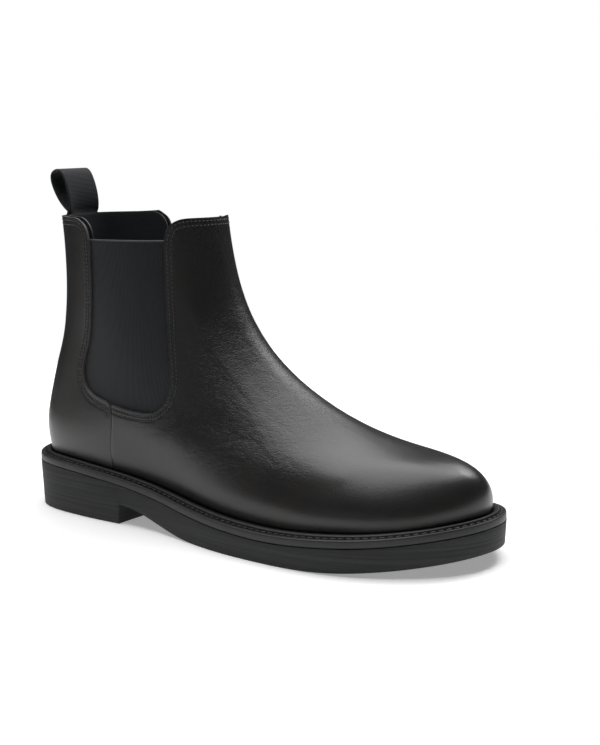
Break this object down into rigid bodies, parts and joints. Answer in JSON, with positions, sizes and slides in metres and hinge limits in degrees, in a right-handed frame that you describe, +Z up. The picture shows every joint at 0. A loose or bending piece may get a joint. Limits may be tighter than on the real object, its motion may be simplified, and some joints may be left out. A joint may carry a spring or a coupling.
{
  "type": "chelsea boot",
  "caption": "Pull-on leather ankle boot with elastic side gores, a webbing pull tab, a stitched storm welt and a rubber sole with a heel.",
  "frame": {"origin": "middle of the boot's footprint, on the floor", "axes": "+X towards the toe, +Y towards the inner (medial) side of the foot, +Z up"},
  "size_m": [0.3206, 0.1168, 0.2093],
  "materials": {
    "upper_leather": "smooth black leather with a satin polish",
    "gore_elastic": "matte black elastic with fine upright ribs",
    "tab_webbing": "matte black woven webbing",
    "lining_leather": "matte black lining leather",
    "stiffener_board": "resin-stiffened fibre board, hidden",
    "welt_rubber": "satin black rubber",
    "stitch_thread": "waxed black thread",
    "insole_board": "insole board, hidden",
    "filler_cork": "granulated cork, hidden",
    "filler_felt": "dark felt and foam",
    "shank_steel": "spring steel, hidden",
    "sole_rubber": "matte black rubber with fine marks along the wall"
  },
  "bodies": {
    "boot": {"front_panel": "upper_leather", "quarter_lateral": "upper_leather", "quarter_medial": "upper_leather", "back_strip": "upper_leather", "gore_lateral": "gore_elastic", "gore_medial": "gore_elastic", "pull_tab_legs": "tab_webbing", "front_lining": "lining_leather", "rear_lining": "lining_leather", "toe_puff": "stiffener_board", "heel_counter": "stiffener_board", "storm_welt": "welt_rubber", "welt_stitch_thread": "stitch_thread", "insole_board": "insole_board", "insole_rib": "insole_board", "cork_filler": "filler_cork", "waist_filler": "filler_felt", "shank": "shank_steel", "sock_liner": "lining_leather", "heel_pad": "filler_felt", "outsole": "sole_rubber"},
    "pull_loop": {"pull_tab_loop": "tab_webbing"}
  },
  "joints": [
    {"name": "pull_tab_swing", "type": "hinge", "parent": "boot", "child": "pull_loop", "pos_m": [-0.13065, 0.00083, 0.1836], "axis": [0, 1, 0], "range_deg": [-65, 20], "stiffness_Nm_per_rad": 0.02}
  ]
}
